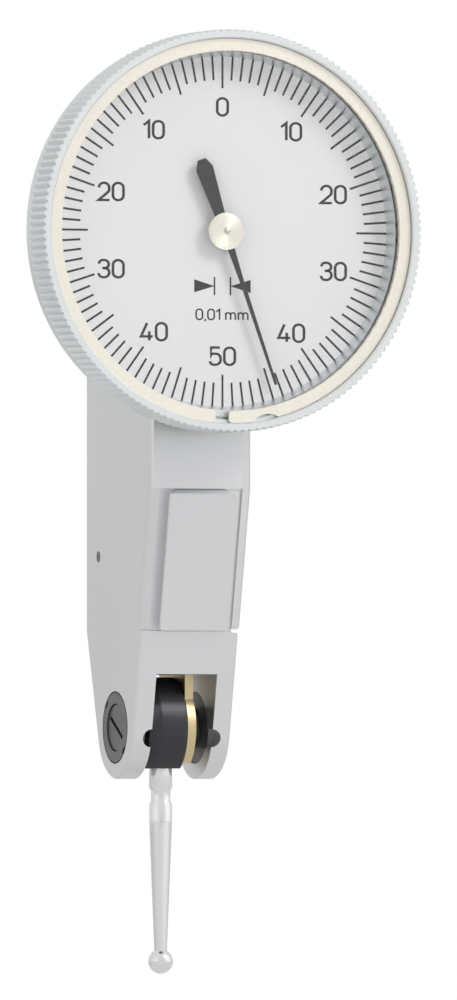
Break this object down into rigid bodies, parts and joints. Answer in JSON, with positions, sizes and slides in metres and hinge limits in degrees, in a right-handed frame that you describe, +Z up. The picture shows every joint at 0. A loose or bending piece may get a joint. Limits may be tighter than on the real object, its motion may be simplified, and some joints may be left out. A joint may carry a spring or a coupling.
{
  "type": "dial test indicator",
  "caption": "Lever-type dial test indicator: round knurled bezel over a white dial, slim satin case with dovetail rails, and a ball-tipped stylus on a friction clutch between two ears.",
  "frame": {"origin": "centre of the outer face of the front dovetail rail", "axes": "+Z up along the case, +X to the right from the left wall to the cover, +Y from the dial to the back"},
  "size_m": [0.032, 0.0238, 0.0753],
  "materials": {
    "satin_case": "satin chrome",
    "satin_bezel": "satin chrome, knurled",
    "nickel": "fine turned nickel",
    "crystal": "clear",
    "dial_face": "matte white print",
    "pointer_black": "matte",
    "brass": "milled",
    "bearing_brass": "turned",
    "steel": "ground",
    "dark_steel": "oxide black",
    "hub_black": "oxide black",
    "chrome": "polished",
    "spring_steel": "bright"
  },
  "bodies": {
    "case": {"housing": "satin_case", "side_cover": "satin_case", "cover_screws": "steel", "dial_case": "satin_bezel", "case_screws": "steel", "bridge_screw": "steel", "bezel_snap_wire": "spring_steel", "front_bush": "bearing_brass", "hairspring": "spring_steel", "hairspring_stud": "bearing_brass", "sector_left_bearing": "bearing_brass", "sector_right_bearing": "bearing_brass", "crown_left_bearing": "bearing_brass", "crown_right_bearing": "bearing_brass", "spindle_bridge": "brass", "left_pivot_bush": "dark_steel", "left_pivot_screw": "dark_steel", "right_pivot_bush": "dark_steel", "right_pivot_screw": "dark_steel", "travel_stop_pin": "dark_steel"},
    "bezel_group": {"bezel": "satin_bezel", "retaining_ring": "nickel", "crystal": "crystal", "dial_plate": "dial_face"},
    "pointer_group": {"pointer": "pointer_black", "pointer_hub": "nickel", "centre_spindle": "steel"},
    "lever_group": {"measuring_lever": "brass", "lever_axle": "steel", "lever_pin": "steel", "clutch_washer": "hub_black", "clutch_nut": "hub_black"},
    "stylus_group": {"clutch_hub": "hub_black", "stylus": "chrome", "contact_ball": "chrome"},
    "sector_group": {"sector_lever": "brass", "sector_axle": "steel"},
    "crown_group": {"crown_wheel": "brass", "crown_arbor": "steel", "hairspring_collet": "bearing_brass"}
  },
  "joints": [
    {"name": "bezel_turn", "type": "hinge", "parent": "case", "child": "bezel_group", "pos_m": [0, -0.00768, 0.0263], "axis": [0, 1, 0], "continuous": true},
    {"name": "pointer_spin", "type": "hinge", "parent": "case", "child": "pointer_group", "pos_m": [0, -0.00768, 0.0263], "axis": [0, 1, 0], "range_deg": [-190, 190], "stiffness_Nm_per_rad": 0.0000088},
    {"name": "lever_swing", "type": "hinge", "parent": "case", "child": "lever_group", "pos_m": [0, 0.00819, -0.0132], "axis": [1, 0, 0], "range_deg": [-1.64, 1.64]},
    {"name": "sector_swing", "type": "hinge", "parent": "case", "child": "sector_group", "pos_m": [0, 0.00819, 0.00966], "axis": [1, 0, 0], "range_deg": [-3.27, 3.27]},
    {"name": "crown_spin", "type": "hinge", "parent": "case", "child": "crown_group", "pos_m": [0, 0.00819, 0.0263], "axis": [1, 0, 0], "range_deg": [-39.2, 39.2]},
    {"name": "stylus_swivel", "type": "hinge", "parent": "lever_group", "child": "stylus_group", "pos_m": [0, 0.00819, -0.0132], "axis": [1, 0, 0], "range_deg": [-105, 105]}
  ],
  "couplings": [
    {"joint": "lever_swing", "follows": "pointer_spin", "ratio": -0.0085784},
    {"joint": "sector_swing", "follows": "pointer_spin", "ratio": 0.017157},
    {"joint": "crown_spin", "follows": "pointer_spin", "ratio": -0.20588}
  ]
}
